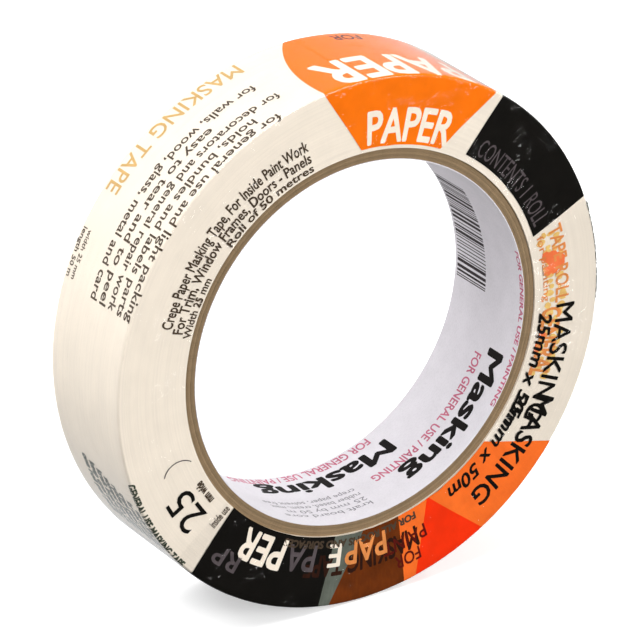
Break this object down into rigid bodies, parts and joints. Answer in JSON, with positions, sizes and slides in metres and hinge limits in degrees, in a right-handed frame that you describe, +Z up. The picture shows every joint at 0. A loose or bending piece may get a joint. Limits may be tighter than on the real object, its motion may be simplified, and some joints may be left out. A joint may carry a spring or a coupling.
{
  "type": "masking tape roll",
  "caption": "Roll of cream crepe masking tape wound on a brown paper core, in a clear printed shrink film wrapper whose free end peels up.",
  "frame": {"origin": "on the ground under the middle of the roll, which stands on its rim", "axes": "+Y along the roll's axis, from the printed front face to the rear face; +Z up; +X to the right seen from the front"},
  "size_m": [0.1115, 0.0254, 0.1114],
  "materials": {
    "liner_paper": "white printed paper, matte",
    "kraft_board": "brown kraft board, matte",
    "crepe_tape": "cream crepe paper, matte",
    "clear_film": "clear printed shrink film, glossy"
  },
  "bodies": {
    "roll": {"core_liner": "liner_paper", "core_ply_1": "kraft_board", "core_ply_2": "kraft_board", "core_ply_3": "kraft_board", "core_ply_4": "kraft_board", "core_ply_5": "kraft_board", "tape_winding": "crepe_tape", "wrapper_first_turn": "clear_film", "wrapper_lap": "clear_film"},
    "film_end": {"wrapper_free_end": "clear_film"}
  },
  "joints": [
    {"name": "film_end_peel", "type": "hinge", "parent": "roll", "child": "film_end", "pos_m": [0.05553, 0, 0.05089], "axis": [0, 1, 0], "range_deg": [0, 75]}
  ]
}
